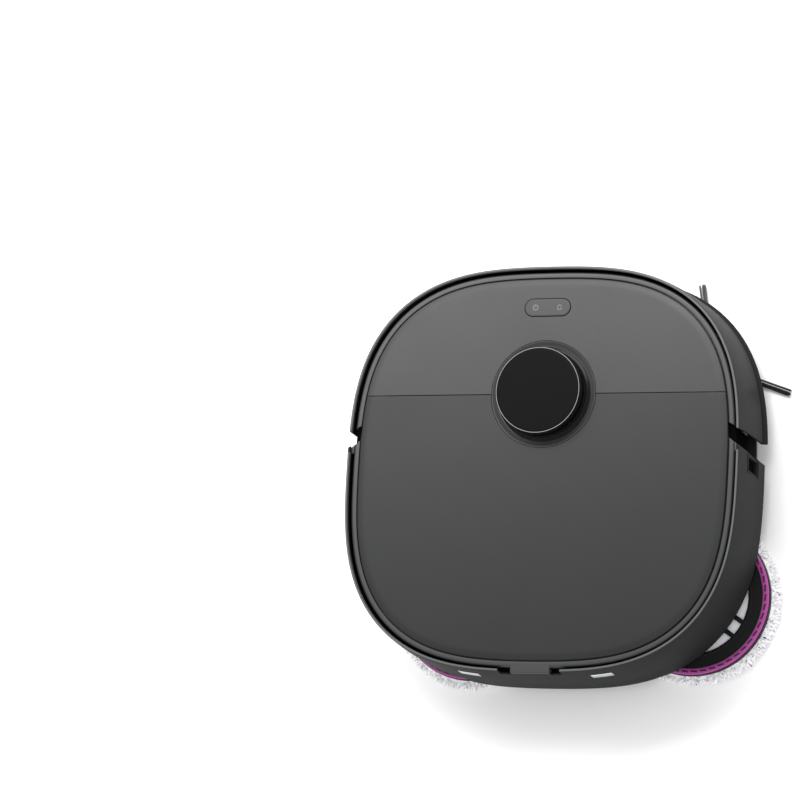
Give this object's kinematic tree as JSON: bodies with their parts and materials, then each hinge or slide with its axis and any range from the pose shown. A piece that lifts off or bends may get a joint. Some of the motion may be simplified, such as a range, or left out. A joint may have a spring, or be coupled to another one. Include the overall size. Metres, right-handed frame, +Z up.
{
  "type": "robot vacuum",
  "caption": "Round-cornered robot vacuum with laser turret, lift-off lid, sprung bumper, side and roller brushes and spinning mops, one on an extending arm.",
  "frame": {"origin": "middle of the footprint, on the floor that the wheels and mop pads stand on", "axes": "+Y to the bumper at the front, +X to the robot's right side, +Z up"},
  "size_m": [0.3667, 0.3542, 0.1059],
  "materials": {
    "cover": "satin moulded grey",
    "lid": "satin moulded grey",
    "shell": "fine-textured dark grey",
    "frame": "fine-textured dark grey",
    "chassis": "textured black",
    "trim": "matt black",
    "gloss_black": "piano black",
    "lens": "infrared black window",
    "dish": "satin grey",
    "rotor": "matt black",
    "motor_steel": "plain steel can",
    "pulley": "natural acetal",
    "belt": "smooth rubber",
    "board": "green solder mask",
    "switch": "blue switch body",
    "battery": "shrink sleeve",
    "deck": "fine-textured black",
    "fan": "black",
    "impeller": "pale grey",
    "dust_box": "smoky dark grey",
    "filter": "pleated filter paper",
    "seal": "soft rubber",
    "tank": "milky polypropylene",
    "gearbox": "textured black",
    "hub": "dark grey",
    "tyre": "ribbed rubber",
    "pin_steel": "ground steel",
    "spring_steel": "spring wire",
    "caster": "dark grey",
    "bristle": "nylon bristle",
    "brush_arm": "flexible black",
    "roller": "dark grey",
    "fin": "grey rubber fin",
    "mop_plate": "matt black",
    "mop_ring": "magenta",
    "mop_pad": "white looped microfibre",
    "contact": "plated contact",
    "detail": "black"
  },
  "bodies": {
    "root": {"chassis_base": "chassis", "rear_shell": "shell", "upper_frame": "frame", "mid_deck": "deck", "front_cover": "cover", "lidar_dish": "dish", "lidar_base": "gloss_black", "lidar_motor": "motor_steel", "lidar_belt": "belt", "control_board": "board", "bumper_switches": "switch", "main_board": "board", "battery_pack": "battery", "fan_housing": "fan", "inlet_seal": "seal", "water_tank": "tank", "suspension_pins": "pin_steel", "suspension_springs": "spring_steel", "caster_housing": "caster", "side_brush_motor": "gearbox", "roller_housing": "chassis", "roller_guard": "trim", "roller_motor": "motor_steel", "mop_swing_motor": "motor_steel", "charging_contacts": "contact", "body_details": "detail"},
    "bumper": {"bumper_shell": "shell", "bumper_trim": "trim", "bumper_window": "lens"},
    "rear_lid": {"rear_lid": "lid"},
    "dust_bin": {"dust_box": "dust_box", "dust_box_lid": "dust_box", "dust_filter": "filter"},
    "turret_cap": {"lidar_cap": "gloss_black"},
    "turret_rotor": {"lidar_rotor": "rotor"},
    "turret_pulley": {"lidar_pulley": "pulley"},
    "rocker": {"button_rocker": "cover"},
    "fan": {"fan_impeller": "impeller"},
    "left_arm": {"left_wheel_arm": "gearbox"},
    "right_arm": {"right_wheel_arm": "gearbox"},
    "left_wheel": {"left_wheel_hub": "hub", "left_tyre": "tyre"},
    "right_wheel": {"right_wheel_hub": "hub", "right_tyre": "tyre"},
    "caster_swivel": {"caster_fork": "caster", "caster_axle": "pin_steel"},
    "caster_roller": {"caster_wheel": "tyre"},
    "side_brush": {"side_brush_hub": "brush_arm", "side_brush_bristles": "bristle"},
    "roller": {"roller_core": "roller", "roller_fins": "fin"},
    "swing_arm": {"mop_arm": "gearbox"},
    "left_carriage": {"left_mop_motor": "motor_steel"},
    "right_carriage": {"right_mop_motor": "motor_steel"},
    "left_mop": {"left_mop_plate": "mop_plate", "left_mop_ring": "mop_ring", "left_mop_pad": "mop_pad"},
    "right_mop": {"right_mop_plate": "mop_plate", "right_mop_ring": "mop_ring", "right_mop_pad": "mop_pad"}
  },
  "joints": [
    {"name": "bumper_press", "type": "slide", "parent": "root", "child": "bumper", "axis": [0, 1, 0], "range_m": [-0.0032, 0], "stiffness_N_per_m": 900, "springref_m": 0.002},
    {"name": "lid_lift", "type": "slide", "parent": "root", "child": "rear_lid", "axis": [0, 0, 1], "range_m": [0, 0.15]},
    {"name": "dust_bin_lift", "type": "slide", "parent": "root", "child": "dust_bin", "axis": [0, 0, 1], "range_m": [0, 0.075]},
    {"name": "turret_cap_press", "type": "slide", "parent": "root", "child": "turret_cap", "axis": [0, 0, 1], "range_m": [-0.001, 0], "stiffness_N_per_m": 1500, "springref_m": 0.001},
    {"name": "turret_spin", "type": "hinge", "parent": "root", "child": "turret_rotor", "pos_m": [-0.00825, 0.0641, 0.09], "axis": [0, 0, 1], "continuous": true},
    {"name": "turret_pulley_spin", "type": "hinge", "parent": "root", "child": "turret_pulley", "pos_m": [-0.03025, 0.0901, 0.08], "axis": [0, 0, 1], "continuous": true},
    {"name": "rocker_tilt", "type": "hinge", "parent": "root", "child": "rocker", "pos_m": [-0.00825, 0.1386, 0.0835], "axis": [0, 1, 0], "range_deg": [-1.5, 1.5], "stiffness_Nm_per_rad": 0.6},
    {"name": "fan_spin", "type": "hinge", "parent": "root", "child": "fan", "pos_m": [-0.12625, -0.0709, 0.04], "axis": [0, 0, 1], "continuous": true},
    {"name": "left_suspension", "type": "hinge", "parent": "root", "child": "left_arm", "pos_m": [-0.10525, 0.0631, 0.046], "axis": [1, 0, 0], "range_deg": [0, 28], "stiffness_Nm_per_rad": 0.5, "springref_deg": 57.3},
    {"name": "left_wheel_spin", "type": "hinge", "parent": "left_arm", "child": "left_wheel", "pos_m": [-0.12325, 0.0131, 0.036], "axis": [1, 0, 0], "continuous": true},
    {"name": "right_suspension", "type": "hinge", "parent": "root", "child": "right_arm", "pos_m": [0.08875, 0.0631, 0.046], "axis": [1, 0, 0], "range_deg": [0, 28], "stiffness_Nm_per_rad": 0.5, "springref_deg": 57.3},
    {"name": "right_wheel_spin", "type": "hinge", "parent": "right_arm", "child": "right_wheel", "pos_m": [0.10675, 0.0131, 0.036], "axis": [1, 0, 0], "continuous": true},
    {"name": "caster_swivel_turn", "type": "hinge", "parent": "root", "child": "caster_swivel", "pos_m": [-0.00825, 0.1371, 0.036], "axis": [0, 0, 1], "continuous": true},
    {"name": "caster_roll", "type": "hinge", "parent": "caster_swivel", "child": "caster_roller", "pos_m": [-0.00825, 0.1298, 0.014], "axis": [1, 0, 0], "continuous": true},
    {"name": "side_brush_spin", "type": "hinge", "parent": "root", "child": "side_brush", "pos_m": [0.11475, 0.1049, 0.008], "axis": [0, 0, 1], "continuous": true},
    {"name": "roller_spin", "type": "hinge", "parent": "root", "child": "roller", "pos_m": [-0.00825, 0.0371, 0.022], "axis": [1, 0, 0], "continuous": true},
    {"name": "mop_extend", "type": "hinge", "parent": "root", "child": "swing_arm", "pos_m": [0.08206, -0.05464, 0.036], "axis": [0, 0, 1], "range_deg": [-47.2, 0]},
    {"name": "left_mop_lift", "type": "slide", "parent": "root", "child": "left_carriage", "axis": [0, 0, 1], "range_m": [0, 0.01]},
    {"name": "right_mop_lift", "type": "slide", "parent": "swing_arm", "child": "right_carriage", "axis": [0, 0, 1], "range_m": [0, 0.002]},
    {"name": "left_mop_spin", "type": "hinge", "parent": "left_carriage", "child": "left_mop", "pos_m": [-0.08625, -0.1031, 0.012], "axis": [0, 0, 1], "continuous": true},
    {"name": "right_mop_spin", "type": "hinge", "parent": "right_carriage", "child": "right_mop", "pos_m": [0.10925, -0.0966, 0.012], "axis": [0, 0, 1], "continuous": true}
  ],
  "couplings": [
    {"joint": "dust_bin_lift", "follows": "lid_lift", "ratio": 0.5},
    {"joint": "turret_pulley_spin", "follows": "turret_spin", "ratio": 4}
  ]
}
